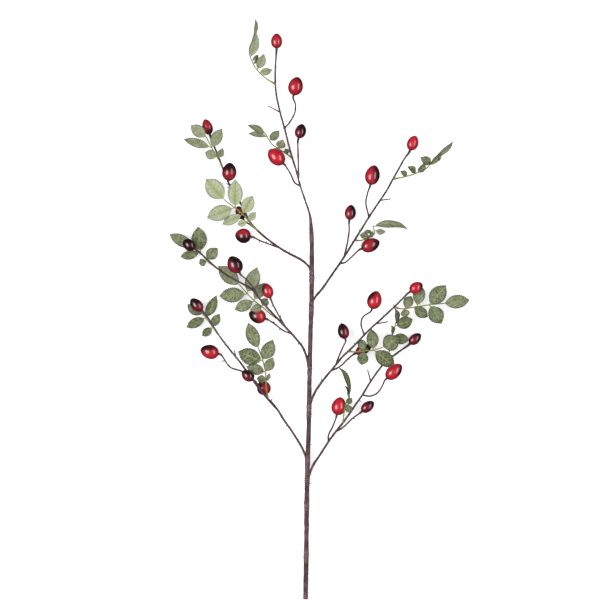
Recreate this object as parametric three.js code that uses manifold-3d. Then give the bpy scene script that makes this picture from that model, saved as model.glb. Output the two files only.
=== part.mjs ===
// A cut rose hip sprig lying on a flat surface: one woody main stem that runs out into a thin leader,
// six side branches, four hips on thin stalks to each of the seven, and two leaves of toothed leaflets.
// Millimetres. +Y runs from the cut end to the tip, +Z up, and the surface is the plane Z = 0.
import * as THREE from "three";
import { mergeVertices } from "three/addons/utils/BufferGeometryUtils.js";
import Module from "manifold-3d";

// Driving dimensions.
const SPRIG_LENGTH = 760;
const STEM_RADIUS = 2.8;
const BRANCH_RADIUS = 1.5;
const LEADER_RADIUS = 1.35;
const TIP_RADIUS = 1.0;
const STALK_RADIUS = 0.9;
const THORN_RADIUS = 0.8;
const PETIOLE_RADIUS = 0.75;
const HIP_NECK_RADIUS = 1.3;
const HIP_SCAR_RADIUS = 1.2;
const BLADE_THICKNESS = 0.8;
const GAP = 0.3;

// The places below are points [x, y, height]: x and y are pixels of the reference picture, in which the
// sprig is SPRIG_PIXELS long, and the height is in millimetres above the surface.
const SPRIG_PIXELS = 583;
const CENTRE_PIXEL = [319.3, 308.5];
const PIXEL = SPRIG_LENGTH / SPRIG_PIXELS;

const STEM_SIDES = 10;
const BRANCH_SIDES = 5;
const STALK_SIDES = 5;
const HIP_SIDES = 8;
const PETIOLE_SIDES = 4;
const THORN_SIDES = 3;
const STALK_STEPS = 6;

// Where the thick wood of the main stem ends, and how far up the leader the radius has settled, as
// shares of the stem's whole length.
const WOOD_END = 0.655;
const LEADER_START = 0.70;

const BARK = { color: 0x5a3f44, roughness: 0.8, metalness: 0 };
const HIP_SKIN = { color: 0xa81a22, roughness: 0.2, metalness: 0 };
const LEAF_GREEN = { color: 0x6c7f4c, roughness: 0.65, metalness: 0 };

// Each hip is [base, tip, width in pixels, stalk points from the branch outwards].
// Each leaf is [points of its stalk from the branch outwards, leaflets], and each leaflet is
// [base, tip, width in pixels, roll in degrees].
const SPRAYS = {
  leader: {
    path: [
      [305.5, 600, 2.75], [306.2, 560, 2.75], [306.5, 530, 3.4], [306.8, 500, 5], [307.5, 465, 8],
      [308.7, 430, 10.5], [309.3, 390, 12.5], [310.3, 340, 14], [311.5, 300, 14.5], [311.8, 260, 14.5],
      [311.5, 235, 14.5], [310, 216, 14.5], [305, 200, 15], [300, 185, 16], [296, 170, 16.5],
      [290, 150, 16.5], [285, 130, 16], [279.5, 110, 14.5], [276, 92, 13], [275.2, 75, 11.5],
      [275.8, 60, 9.5],
    ],
    hips: [
      [[276.5, 48, 6.9], [276.5, 33, 6.5], 10.5, null],
      [[293.6, 95.5, 22], [297.8, 77.5, 25], 14, [[283.7, 129, 16], [290, 122, 18], [295, 112, 20], [295.3, 104, 21]]],
      [[298.6, 138, 13], [302.6, 124, 11], 10.5, [[298.7, 178, 16.3], [298.3, 162, 15.5], [298, 150, 14]]],
      [[283.4, 163.8, 21], [269, 150.3, 23], 14.3, [[300, 186, 16], [295, 183, 17], [291, 175, 19]]],
    ],
    leaves: [
      [
        [[275.3, 84, 12.3], [265, 77.5, 11], [256, 68.5, 11], [250.4, 57, 11.5], [249, 49.5, 12], [252.4, 39.5, 12]],
        [
          [[252.4, 39.5, 12], [255.2, 17, 8], 7, 58],
          [[250.6, 57.5, 11.6], [256.6, 32.5, 17], 9.6, 22],
          [[252, 60.5, 11.4], [258.4, 54.6, 8], 4.5, 15],
          [[257, 69.3, 11], [264.2, 54, 15], 9.6, 18],
          [[259.5, 72, 11], [272, 70, 13], 8, 20],
          [[253.5, 64, 11], [258, 56, 10], 5, 50],
        ],
      ],
      [
        [[292.3, 158, 16.5], [287, 154, 10.5], [279, 148.8, 8.5], [272, 144, 8], [265.2, 133.4, 8]],
        [
          [[267, 136.6, 8], [248, 133, 4.6], 6, 15],
          [[265.2, 133.4, 8], [248, 124.8, 11], 7.4, 18],
          [[269.4, 140.2, 8], [279.2, 130.4, 11], 9, 15],
          [[279, 148.6, 8.5], [282.6, 139.6, 12], 10, 8],
          [[287.4, 154.2, 10.7], [285.4, 148.6, 12], 6.5, 10],
          [[280, 149, 8.5], [271, 154.5, 5], 8, 10],
        ],
      ],
    ],
    thorns: [
      [[279.8, 112, 14.7], [268, 106, 17]],
      [[290, 144, 16.3], [287.6, 141.5, 16.3]],
      [[308.2, 485, 7], [312.2, 482.5, 8]],
      [[306.5, 531, 3.6], [302.6, 534, 4.6]],
      [[306.3, 556, 3], [310, 554, 4]],
      [[307, 506, 5], [303.2, 503, 7]],
      [[311.8, 242, 14.5], [315.2, 239, 15.5]],
      [[308.3, 446, 9.5], [312, 444, 12]],
      [[309.5, 384, 12.8], [305.8, 381, 13.5]],
      [[310.6, 325, 14.2], [314.2, 322, 15.5]],
    ],
  },
  left_low: {
    path: [
      [307.6, 463, 8.2], [304, 452, 10], [298, 441, 11.5], [291, 430, 13.5], [284, 420, 15.5],
      [277, 409, 18], [268, 399, 20.3], [258, 387, 20.6], [250, 376, 19], [240, 362, 18], [231, 351, 18],
      [222, 339.5, 18], [215, 329, 17.5], [208, 318, 16.5],
    ],
    hips: [
      [[202, 310.8, 16], [191, 299, 16], 10.5, null],
      [[218.3, 354, 9.2], [200.5, 349.5, 8.1], 13.5, [[250.5, 376.6, 19], [243, 371.7, 16], [230, 367, 13]]],
      [[253.5, 379.5, 32.5], [242.5, 371, 33], 10.5, [[279, 411.5, 17.3], [270, 401.5, 25], [262, 391, 30.5]]],
      [[266, 394.8, 9.8], [261.2, 380.8, 9.2], 13, [[279.5, 412.5, 17], [273, 403.5, 12]]],
    ],
    leaves: [
      [
        [[268, 398.8, 20.4], [266.8, 391, 22.5], [266, 382, 23], [265.5, 372, 24], [263, 361, 25], [259, 349, 26]],
        [
          [[259, 349, 26], [248, 323, 22], 14.5, -8],
          [[262.7, 360, 25], [273, 339.8, 27.5], 15, 10],
          [[263, 361, 25], [238, 351.5, 20], 17.5, -5],
          [[265.3, 371.5, 24], [273, 357.5, 25.5], 11, 10],
          [[265.4, 372, 24], [246.5, 366.5, 23.5], 11.5, 0],
          [[266, 380, 23], [257, 378, 24], 8.5, 0],
          [[266, 381, 23], [269.5, 373, 21], 5, 40],
        ],
      ],
      [
        [[218, 334, 17.8], [213, 328, 9.5], [208, 321, 7], [203, 314.5, 6]],
        [
          [[203, 314.5, 6], [187, 304.5, 3], 12.5, 0],
          [[205.5, 317.7, 6.6], [216.5, 295.5, 10], 11, 10],
          [[205.3, 317.8, 6.6], [186, 327.5, 3], 10.5, 0],
          [[212, 326.8, 9], [219.3, 314, 10], 9.5, 0],
          [[212.3, 327.2, 9], [202, 336.3, 4.5], 8.5, 0],
        ],
      ],
    ],
    thorns: [
      [[288.3, 426, 14.3], [285.3, 425.5, 15]],
      [[235.5, 356.5, 18], [234.6, 350, 20]],
      [[229, 348.7, 18], [228.3, 345, 19]],
      [[270.2, 401.6, 20], [273.2, 397, 21]],
      [[223, 361, 11.8], [220, 362.5, 11.5]],
    ],
  },
  right_low: {
    path: [
      [307.8, 480, 6.9], [310.2, 472, 8], [314, 464, 9], [320, 455, 10], [327, 444, 11], [334, 434, 12],
      [342, 424, 13], [350, 413, 14], [356, 404, 14.5], [362, 395.5, 14.5], [370, 382.5, 14],
      [378, 371, 12.5], [386, 361.5, 11], [396, 354, 9.5], [403, 349, 8],
    ],
    hips: [
      [[410, 343.8, 6.3], [420.6, 334, 6], 9.6, null],
      [[386.5, 378.2, 27], [401, 364.6, 28], 12.5, [[362.5, 395, 14.5], [370, 396, 19], [377, 393, 23], [382.5, 385, 26]]],
      [[336.8, 415, 13], [341, 397.3, 13], 13.6, [[328.3, 442, 11.2], [328.6, 435, 12], [332.5, 427, 13]]],
      [[362, 411.6, 7.5], [373.6, 402, 7], 9.6, [[336, 431.5, 12.2], [343, 427.5, 10.5], [352, 419, 8.5]]],
    ],
    leaves: [
      [
        [[343, 422.8, 13.1], [344, 413, 18], [346, 403, 20.5], [349.8, 396.2, 22]],
        [
          [[349.8, 396.2, 22], [339, 366, 30], 11, 62],
          [[348.6, 398, 21.6], [345.3, 385.3, 25], 6, 58],
          [[346, 403, 20.5], [352, 398, 22], 7, 20],
          [[345.9, 404, 20.4], [351.8, 412.5, 18], 8, 20],
          [[344.6, 410, 19], [348.5, 404, 16.5], 6, 40],
        ],
      ],
      [
        [[387.5, 360.4, 10.8], [389.5, 350, 14], [391, 340, 15], [393, 331, 15.5], [395.5, 325, 16]],
        [
          [[395.5, 325, 16], [395, 308, 19], 11, 62],
          [[395.4, 326, 16], [412.8, 319.3, 14], 13, 5],
          [[391.2, 338.5, 15], [409.5, 339.5, 12.5], 11.5, -5],
          [[392.2, 335.5, 15.2], [391.3, 325.5, 20], 9, 62],
        ],
      ],
    ],
    thorns: [
      [[370.5, 381.5, 14], [367.5, 369.5, 16]],
      [[321.5, 452.5, 10.3], [323.5, 449.5, 12]],
      [[352.5, 418.6, 8.6], [355.5, 418.8, 9.5]],
      [[358.6, 400.6, 14.5], [361.6, 401.8, 15.5]],
    ],
  },
  left_mid: {
    path: [
      [308.9, 367, 13.2], [306, 355, 14.5], [302, 346, 16], [298, 341, 17], [291, 333, 19], [284, 325.5, 20.5],
      [276, 317, 22], [268, 308.5, 23], [260, 299, 23.5], [252, 289.5, 23.5], [243, 284, 23.5],
      [230, 277, 23], [220, 270.5, 22.5], [210, 262, 22], [202, 254.5, 21.3],
    ],
    hips: [
      [[195, 249, 20.5], [183.4, 240.8, 21], 11, null],
      [[239.6, 272.6, 29.5], [230.4, 256.8, 32], 14, [[258.5, 297, 23.5], [252, 286, 26.5], [246, 279, 28.5]]],
      [[270.2, 297.8, 21], [264.6, 283.4, 20], 10.6, [[286.5, 328.3, 20], [280, 317.5, 21.5], [274.5, 307.5, 22]]],
      [[265.4, 318.8, 10], [249, 313.2, 9], 13.4, [[291.7, 333.6, 18.8], [284, 331, 15], [274, 323.5, 12]]],
    ],
    leaves: [
      [
        [[277.5, 318.6, 21.8], [271, 314.5, 16], [262.5, 307, 13.5], [254, 300.5, 11], [247, 293.5, 9], [240, 285.5, 8]],
        [
          [[240, 285.5, 8], [218, 266, 5], 16, 0],
          [[247, 293, 9], [257.2, 267.5, 12.5], 15.5, 8],
          [[246.6, 294, 9], [219, 296, 5], 16, 0],
          [[254, 300, 11], [264, 283, 9], 12, 8],
          [[254, 301, 11], [234.5, 310, 7], 12, 0],
          [[262, 306, 13], [267.5, 298.5, 12], 9, 0],
          [[262, 307, 13], [250.5, 310, 20], 9, 0],
        ],
      ],
      [
        [[216.5, 267.8, 22.3], [210, 263.5, 14], [205, 258.5, 10], [200, 252.5, 8], [194.5, 247.5, 7.2]],
        [
          [[194.5, 247.5, 7.2], [169, 234, 3.5], 12.5, 0],
          [[200.3, 252, 8], [198, 226.5, 8], 16.5, 0],
          [[199.7, 252.8, 8], [180, 256.8, 3.5], 10, 0],
          [[206.5, 259.5, 11], [217.3, 247.8, 12], 12.5, 0],
          [[206.8, 261, 11], [198.8, 263.5, 6], 8, 0],
        ],
      ],
    ],
    thorns: [
      [[299, 342, 17], [298.2, 345.6, 17.5]],
      [[280.3, 318, 21.5], [280.5, 313.6, 22]],
      [[274, 323.5, 12], [273.5, 320.5, 13.5]],
      [[280, 328.5, 13.8], [278.4, 331, 13.5]],
      [[272.8, 305, 22], [270.8, 306.5, 22.5]],
    ],
  },
  right_mid: {
    path: [
      [309.2, 411, 11.4], [311, 402, 12.5], [315, 392, 14.5], [321, 383, 16.5], [326, 376.5, 18],
      [331, 370.5, 19.5], [336, 364.5, 21], [343, 356, 22.7], [350, 349.5, 24], [357, 342.5, 25.3],
      [364, 335, 26.3], [372, 327, 26.5], [380, 320, 26.3], [388, 312.5, 26], [395, 306, 25.5], [403, 298, 24.6],
    ],
    hips: [
      [[410, 291.7, 24], [422, 283.8, 25], 11, null],
      [[371.7, 308.8, 22.5], [377.2, 291.2, 21], 13.6, [[364.2, 334.8, 26.3], [361, 325, 26], [362.8, 317, 24.5]]],
      [[345.2, 338.8, 14], [341.4, 323.4, 10.5], 10.6, [[335.6, 365, 20.9], [339, 356, 19], [343.4, 346, 16]]],
      [[356, 353.2, 9.3], [371, 346, 8.5], 9.8, [[330.8, 370.8, 19.4], [340, 366.5, 15.5], [347, 360, 12]]],
    ],
    leaves: [
      [
        [[348.3, 351.2, 23.6], [356, 351.8, 22.6], [366, 350.6, 22], [374, 350, 21.3], [382, 347.5, 21]],
        [
          [[382, 347.5, 21], [399, 337.5, 21], 18, 0],
          [[373.3, 350, 21.3], [371.5, 329, 19.5], 13, 0],
          [[374, 350.3, 21.3], [394.5, 366.3, 18], 16, 0],
          [[364, 350.8, 22.1], [360.3, 339, 18.5], 9.5, 0],
          [[364, 351, 22.1], [361.5, 365, 18], 12, 0],
        ],
      ],
      [
        [[394, 307.2, 25.3], [402, 308.8, 20.5], [412, 307.5, 18], [428, 305, 17], [443, 303.5, 16]],
        [
          [[443, 303.5, 16], [469.8, 300, 10], 14.5, 0],
          [[429, 304.8, 17], [446, 285.3, 15], 17, 0],
          [[429.5, 305, 17], [441.8, 323.8, 12], 16.5, 0],
          [[417, 306.5, 17.7], [420.8, 285, 10.5], 13, 0],
          [[413.5, 307.2, 18], [427.8, 317, 14], 11.5, 0],
          [[404.5, 308.6, 19.8], [411.5, 296, 14.5], 11, 0],
          [[404, 308.8, 20], [406, 317.4, 19.8], 9.5, 0],
        ],
      ],
    ],
    thorns: [
      [[376, 323.5, 26.4], [388, 321.6, 28]],
      [[321.5, 382, 16.7], [321.3, 377.6, 18]],
      [[355, 344.6, 25], [353.6, 341.6, 26]],
      [[393.6, 307, 25.6], [392.8, 304, 26.5]],
      [[383, 317, 26.2], [383.6, 313.8, 27.5]],
    ],
  },
  left_top: {
    path: [
      [311.7, 277, 14.5], [309.6, 268, 15], [305, 262.7, 15.5], [299, 258.5, 16.3], [288, 253, 17],
      [279, 247.5, 17.8], [268, 239.5, 18], [258, 231, 18.5], [250, 222, 18.8], [241, 204, 17.5],
      [231, 188, 14], [225, 174, 10.5], [219, 158, 9], [214, 146, 8],
    ],
    hips: [
      [[209.6, 134, 6.2], [204.8, 119, 5.9], 9.5, null],
      [[228.6, 180.6, 20], [230.2, 163, 24], 13.5, [[231.5, 188.8, 14.2], [230, 185, 17]]],
      [[243.3, 218.8, 8.2], [237.3, 206.3, 8], 9, [[256, 229, 18.6], [250, 224.5, 12.5]]],
      [[250.7, 236.8, 12.5], [235.2, 234.6, 10.5], 14, [[280.5, 248.3, 17.6], [270, 244.5, 16], [260, 240.6, 14]]],
    ],
    leaves: [
      [
        [[257.5, 230.5, 18.5], [250.5, 223.5, 23], [243, 214.5, 24.8], [235, 208, 25.6], [225, 200.5, 26]],
        [
          [[225, 200.5, 26], [206, 179, 21], 19, 0],
          [[235.5, 208, 25.5], [235.3, 179.8, 25], 16, 0],
          [[234, 208, 25.5], [206.8, 218, 20], 16.5, 0],
          [[243, 214, 24.8], [252.8, 196, 25.5], 13.5, 0],
          [[242.5, 214.7, 24.8], [222, 224.6, 18], 10, 0],
          [[248.5, 221, 23.6], [255.8, 212.3, 24.5], 7.5, 0],
          [[248, 221.5, 23.4], [237.5, 225, 19], 7, 0],
        ],
      ],
      [
        [[222, 166.6, 9.8], [218, 158.5, 13.5], [212.5, 149, 17], [206.5, 137.5, 19.5]],
        [
          [[206.5, 137.5, 19.5], [190.8, 125.3, 16.5], 12.5, 0],
          [[211.5, 147.5, 17.4], [221.8, 128.8, 19], 12, 0],
          [[211.2, 147.5, 17.4], [183.5, 139, 12], 9.5, 0],
          [[217.2, 157.3, 14], [205, 152, 10.5], 10.5, 0],
          [[217.6, 157.6, 14], [223, 148.5, 16.5], 7.5, 20],
        ],
      ],
    ],
    thorns: [
      [[288.5, 253.3, 17], [289.4, 250, 18]],
      [[260, 240.6, 14], [258.6, 243.4, 14.5]],
      [[229.7, 185.6, 16.5], [226, 183, 15.5]],
      [[230.6, 187.2, 14.4], [226.6, 187.8, 13.5]],
      [[267, 243.4, 15.4], [266, 240.4, 15.4]],
      [[241.6, 205.2, 17.6], [242.6, 202, 18.5]],
    ],
  },
  right_top: {
    path: [
      [311.6, 309, 14.4], [313, 301, 15.3], [316.3, 295.5, 16.2], [322, 289, 17.3], [331, 276, 19],
      [339, 264.5, 20], [346, 254, 21], [353, 242.5, 21.8], [360, 231.5, 22], [369, 217, 21.5],
      [380, 200.5, 20], [387, 190, 18], [393, 179, 16], [399.2, 168, 13], [405, 157.8, 10],
    ],
    hips: [
      [[410.2, 149.8, 7], [415.8, 135.6, 6.6], 10.6, null],
      [[370.2, 184.8, 20], [374.8, 165.4, 18], 13.8, [[368.9, 217.2, 21.5], [365.8, 203, 22.5], [367.7, 192.5, 21]]],
      [[349.4, 219.8, 12], [351.4, 204.8, 9], 10.6, [[344, 257, 20.8], [347.3, 243, 17.5], [349.2, 230, 14.5]]],
      [[361.6, 248.8, 22.5], [379.2, 241.4, 21], 13, [[339.6, 263.6, 20.1], [345, 262.5, 21.5], [351, 257.5, 22.5]]],
    ],
    leaves: [
      [
        [[354.5, 240.2, 21.9], [361, 240.4, 15], [368, 238, 12.6], [374.4, 233.4, 12.5], [372.8, 226, 13.2]],
        [
          [[372.8, 226, 13.2], [407.7, 227.3, 9.5], 11, -44],
          [[375.4, 230.6, 12.6], [385.4, 231.8, 11], 6.5, 25],
          [[372.8, 234.3, 12.5], [364, 231.2, 17], 6.5, 50],
          [[369.6, 237.1, 12.5], [359.6, 234.9, 11], 7.5, 15],
          [[367.8, 238.1, 12.7], [373.2, 231.6, 17.5], 5.5, 45],
        ],
      ],
      [
        [[393, 179, 16.1], [402, 177.3, 12.3], [416, 173.4, 12], [428, 167, 12.7], [433.8, 158.6, 13.8]],
        [
          [[433.8, 158.6, 13.8], [454, 141.2, 8], 6, 25],
          [[433, 161, 13.4], [441.5, 153.8, 16], 7, 35],
          [[431, 164.2, 13], [420.4, 157.4, 20], 9.5, 10],
          [[430.4, 164.8, 12.9], [437.5, 156, 18.5], 7, 42],
          [[416, 173.2, 12], [408, 166.6, 17], 7.5, 30],
          [[417.8, 172.7, 12], [425, 163.4, 17.5], 8, 30],
          [[407.5, 175.9, 12], [400.4, 171.2, 15], 6, 20],
        ],
      ],
    ],
    thorns: [
      [[380, 201, 20], [390.8, 199, 21.5]],
      [[332, 274.4, 19.2], [332.6, 271.4, 20.4]],
      [[387.2, 189.6, 18], [385, 192.6, 17.4]],
      [[359.3, 232.6, 22], [359, 228.6, 23]],
    ],
  },
};

const wasm = await Module();
wasm.setup();

// A place of the table as a point in millimetres.
function place([x, y, height]) {
  return new THREE.Vector3((x - CENTRE_PIXEL[0]) * PIXEL, (CENTRE_PIXEL[1] - y) * PIXEL, height);
}

function solidFrom(geometry) {
  const bare = geometry.clone();
  bare.deleteAttribute("normal");
  bare.deleteAttribute("uv");
  const merged = mergeVertices(bare, 1e-4);
  const vertProperties = new Float32Array(merged.attributes.position.array);
  const triVerts = new Uint32Array(merged.index.array);
  return new wasm.Manifold(new wasm.Mesh({ numProp: 3, vertProperties, triVerts }));
}

// The largest single body of a solid, as a three.js geometry.
function geometryFrom(solid) {
  const body = solid.decompose().sort((a, b) => b.volume() - a.volume())[0];
  const mesh = body.getMesh();
  const geometry = new THREE.BufferGeometry();
  geometry.setAttribute("position", new THREE.BufferAttribute(mesh.vertProperties, 3));
  geometry.setIndex(new THREE.BufferAttribute(mesh.triVerts, 1));
  geometry.computeVertexNormals();
  return geometry;
}

// A tapered limb: a closed cylinder bent along a smooth curve, with its radius given by radiusAt.
function limb(points, radiusAt, sides, steps) {
  const curve = new THREE.CatmullRomCurve3(points, false, "centripetal");
  const frames = curve.computeFrenetFrames(steps, false);
  const geometry = new THREE.CylinderGeometry(1, 1, 1, sides, steps);
  const position = geometry.attributes.position;
  for (let i = 0; i < position.count; i++) {
    const ring = Math.round((position.getY(i) + 0.5) * steps);
    const along = ring / steps;
    const radius = radiusAt(along);
    const spot = curve.getPointAt(along);
    spot.addScaledVector(frames.normals[ring], position.getX(i) * radius);
    spot.addScaledVector(frames.binormals[ring], -position.getZ(i) * radius);
    position.setXYZ(i, spot.x, spot.y, spot.z);
  }
  return solidFrom(geometry);
}

function taper(start, end) {
  return (along) => start + (end - start) * along;
}

// The main stem keeps its radius up to the end of the old wood, and then narrows into the leader.
function stemRadius(along) {
  const narrowing = THREE.MathUtils.smoothstep(along, WOOD_END, LEADER_START);
  const leader = LEADER_RADIUS + (TIP_RADIUS - LEADER_RADIUS) * along;
  return STEM_RADIUS + (leader - STEM_RADIUS) * narrowing;
}

// The last stretch of a stalk runs straight into the hip's neck and stops a gap short of it.
function stalkPoints(points, base, tip) {
  const inward = tip.clone().sub(base).normalize();
  return [
    ...points,
    base.clone().addScaledVector(inward, -3 - GAP),
    base.clone().addScaledVector(inward, -GAP),
  ];
}

// The wood of one spray: its main limb, the stalks of its hips and its thorns, as one solid, with
// extra added to every radius.
function wood(spray, isStem, extra = 0) {
  const [endHip, ...sideHips] = spray.hips;
  const path = stalkPoints(spray.path.map(place), place(endHip[0]), place(endHip[1]));
  const radiusAt = isStem ? stemRadius : taper(BRANCH_RADIUS, TIP_RADIUS);
  const sides = isStem ? STEM_SIDES : BRANCH_SIDES;
  let solid = limb(path, (along) => radiusAt(along) + extra, sides, path.length + 4);
  for (const [base, tip, , points] of sideHips) {
    const route = stalkPoints(points.map(place), place(base), place(tip));
    const radius = taper(STALK_RADIUS + 0.15 + extra, STALK_RADIUS + extra);
    solid = solid.add(limb(route, radius, STALK_SIDES, STALK_STEPS));
  }
  for (const [root, point] of spray.thorns) {
    const route = [place(root), place(root).lerp(place(point), 0.5), place(point)];
    solid = solid.add(limb(route, taper(THORN_RADIUS + extra, 0.25 + extra), THORN_SIDES, 1));
  }
  return solid;
}

// An egg-shaped hip, widest a little below its middle, with a short neck and the scar of the flower.
const HIP_STATIONS = [0.1, 0.32, 0.56, 0.8, 0.96];
function hipGeometry(length, width) {
  const outline = HIP_STATIONS.map((share) => {
    const radius = (width / 2) * Math.sin(Math.PI * Math.pow(share, 0.88)) ** 0.62;
    return new THREE.Vector2(Math.max(radius, HIP_SCAR_RADIUS), share * length);
  });
  return new THREE.LatheGeometry(
    [
      new THREE.Vector2(0, 0),
      new THREE.Vector2(HIP_NECK_RADIUS, 0),
      ...outline,
      new THREE.Vector2(HIP_SCAR_RADIUS * 0.8, length),
      new THREE.Vector2(0, length),
    ],
    HIP_SIDES,
  );
}

// How wide a leaflet is along its length: a stalk, then a toothed oval that ends in a point. Each row
// is [share of the length, share of the half width], and the teeth stand out at every second row.
const STALK_HALF_WIDTH = 0.6;
const BLADE_START = 0.08;
const TOOTH_CUT = 0.82;
function bladeRows(teeth) {
  const rows = [[0, 0], [BLADE_START, 0]];
  for (let i = 1; i < teeth * 2; i++) {
    const share = i / (teeth * 2);
    const oval = Math.sin(Math.PI * Math.pow(share, 0.85)) ** 0.7;
    rows.push([BLADE_START + (1 - BLADE_START) * share, oval * (i % 2 ? 1 : TOOTH_CUT)]);
  }
  return rows;
}

// A leaflet: a thin toothed blade arched along its length, with the same triangles on both faces. A
// large one has a rib to fold along and more teeth, and a small one is flat across.
const LARGE_WIDTH = 16.5;
const LARGE_TEETH = 4;
const SMALL_TEETH = 3;
const FOLD = 0.22;
const ARCH = 0.09;
function leafletSolid(base, tip, width, rollDegrees) {
  const isLarge = width > LARGE_WIDTH;
  const columns = isLarge ? [-1, 0, 1] : [-1, 1];
  const fold = isLarge ? FOLD : 0;
  const rows = bladeRows(isLarge ? LARGE_TEETH : SMALL_TEETH);
  const axis = tip.clone().sub(base);
  const length = axis.length();
  axis.normalize();
  const side = new THREE.Vector3().crossVectors(axis, new THREE.Vector3(0, 0, 1)).normalize();
  side.applyAxisAngle(axis, THREE.MathUtils.degToRad(rollDegrees));
  const up = new THREE.Vector3().crossVectors(side, axis).normalize();

  const vertices = [];
  const put = (share, offset, lift) => {
    const arch = Math.sin(Math.PI * share) * ARCH * length;
    const spot = base.clone().addScaledVector(axis, share * length).addScaledVector(side, offset);
    vertices.push(...spot.addScaledVector(up, arch + lift).toArray());
  };
  for (const lift of [BLADE_THICKNESS / 2, -BLADE_THICKNESS / 2]) {
    for (const [share, wide] of rows) {
      const half = Math.max(STALK_HALF_WIDTH, (wide * width) / 2);
      const raised = lift + fold * (half - STALK_HALF_WIDTH);
      for (const column of columns) put(share, column * half, column ? raised : lift);
    }
    put(1, 0, lift);
  }

  const across = columns.length;
  const point = rows.length * across;
  const top = [];
  for (let row = 0; row < rows.length; row++) {
    for (let column = 0; column + 1 < across; column++) {
      const a = row * across + column;
      const b = a + across;
      if (row + 1 < rows.length) top.push([a, a + 1, b + 1], [a, b + 1, b]);
      else top.push([a, a + 1, point]);
    }
  }
  const rim = [];
  for (let row = 0; row < rows.length; row++) rim.push(row * across + across - 1);
  rim.push(point);
  for (let row = rows.length - 1; row >= 0; row--) rim.push(row * across);
  if (across === 3) rim.push(1);

  const under = point + 1;
  const triangles = [];
  for (const [a, b, c] of top) triangles.push(a, b, c, a + under, c + under, b + under);
  rim.forEach((here, i) => {
    const next = rim[(i + 1) % rim.length];
    triangles.push(here, here + under, next, next, here + under, next + under);
  });
  const geometry = new THREE.BufferGeometry();
  geometry.setAttribute("position", new THREE.Float32BufferAttribute(vertices, 3));
  geometry.setIndex(triangles);
  return solidFrom(geometry);
}

// A leaf: its stalk with all its leaflets, and a saddle cut at its foot for the wood that it grows on.
function leafSolid([stalk, leaflets], thickWood) {
  const points = stalk.map(place);
  let solid = limb(points, taper(PETIOLE_RADIUS + 0.2, PETIOLE_RADIUS - 0.1), PETIOLE_SIDES, points.length + 1);
  for (const [base, tip, width, roll] of leaflets) {
    solid = solid.add(leafletSolid(place(base), place(tip), width * PIXEL, roll));
  }
  return solid.subtract(thickWood);
}

const sprig = new THREE.Group();

function addMesh(name, geometry, finish) {
  const mesh = new THREE.Mesh(geometry, new THREE.MeshStandardMaterial(finish));
  mesh.name = name;
  sprig.add(mesh);
  return mesh;
}

function addHip(name, [baseRow, tipRow, width]) {
  const base = place(baseRow);
  const axis = place(tipRow).sub(base);
  const mesh = addMesh(name, hipGeometry(axis.length(), width * PIXEL), HIP_SKIN);
  mesh.position.copy(base);
  mesh.quaternion.setFromUnitVectors(new THREE.Vector3(0, 1, 0), axis.normalize());
}

const thickStem = wood(SPRAYS.leader, true, GAP);
for (const [name, spray] of Object.entries(SPRAYS)) {
  const isStem = name === "leader";
  const solid = isStem ? wood(spray, true) : wood(spray, false).subtract(thickStem);
  const thickWood = isStem ? thickStem : wood(spray, false, GAP);
  addMesh(isStem ? "main_stem" : `branch_${name}`, geometryFrom(solid), BARK);
  spray.hips.forEach((hip, i) => addHip(`hip_${name}_${i + 1}`, hip));
  spray.leaves.forEach((leaf, i) => {
    addMesh(`leaf_${name}_${i + 1}`, geometryFrom(leafSolid(leaf, thickWood)), LEAF_GREEN);
  });
}

export default sprig;
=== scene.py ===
import math
import random

import bpy
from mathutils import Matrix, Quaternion, Vector, kdtree, noise


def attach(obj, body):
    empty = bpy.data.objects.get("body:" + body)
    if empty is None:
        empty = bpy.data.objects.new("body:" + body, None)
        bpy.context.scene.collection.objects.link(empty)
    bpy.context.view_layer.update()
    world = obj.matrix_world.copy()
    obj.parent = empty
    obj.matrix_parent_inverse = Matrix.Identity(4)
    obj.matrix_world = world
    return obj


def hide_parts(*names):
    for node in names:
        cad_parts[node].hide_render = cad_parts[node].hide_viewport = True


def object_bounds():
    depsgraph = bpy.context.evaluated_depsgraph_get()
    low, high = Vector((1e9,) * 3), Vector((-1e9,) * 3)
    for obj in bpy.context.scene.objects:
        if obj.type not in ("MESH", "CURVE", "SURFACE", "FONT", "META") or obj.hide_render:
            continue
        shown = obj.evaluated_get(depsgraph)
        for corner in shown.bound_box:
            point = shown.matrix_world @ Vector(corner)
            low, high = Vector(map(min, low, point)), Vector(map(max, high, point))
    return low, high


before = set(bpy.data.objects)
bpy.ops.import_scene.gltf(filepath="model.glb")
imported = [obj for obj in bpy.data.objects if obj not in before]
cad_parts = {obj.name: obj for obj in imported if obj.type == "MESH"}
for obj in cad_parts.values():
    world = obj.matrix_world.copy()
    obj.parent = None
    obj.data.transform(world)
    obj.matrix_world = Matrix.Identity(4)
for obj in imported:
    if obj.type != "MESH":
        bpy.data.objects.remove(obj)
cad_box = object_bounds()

# A cut rose hip sprig, lying on a flat surface with its tip towards +Y.
# Driving dimensions in millimetres, as the solids have them.
MM = 0.001
SPRIG_LENGTH = 760
SPRIG_PIXELS = 583
PICTURE_PIXELS = 600
CENTRE_PIXEL = (319.3, 308.5)
PIXEL = SPRIG_LENGTH / SPRIG_PIXELS
STEM_RADIUS = 2.8
BRANCH_RADIUS = 1.5
LEADER_RADIUS = 1.35
TIP_RADIUS = 1.0
STALK_RADIUS = 0.9
PETIOLE_RADIUS = 0.75
HIP_NECK_RADIUS = 1.3
HIP_SCAR_RADIUS = 1.2
# Where the old wood ends and where the leader has settled, as shares of the main stem's length.
WOOD_END = 0.655
LEADER_START = 0.70

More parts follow.
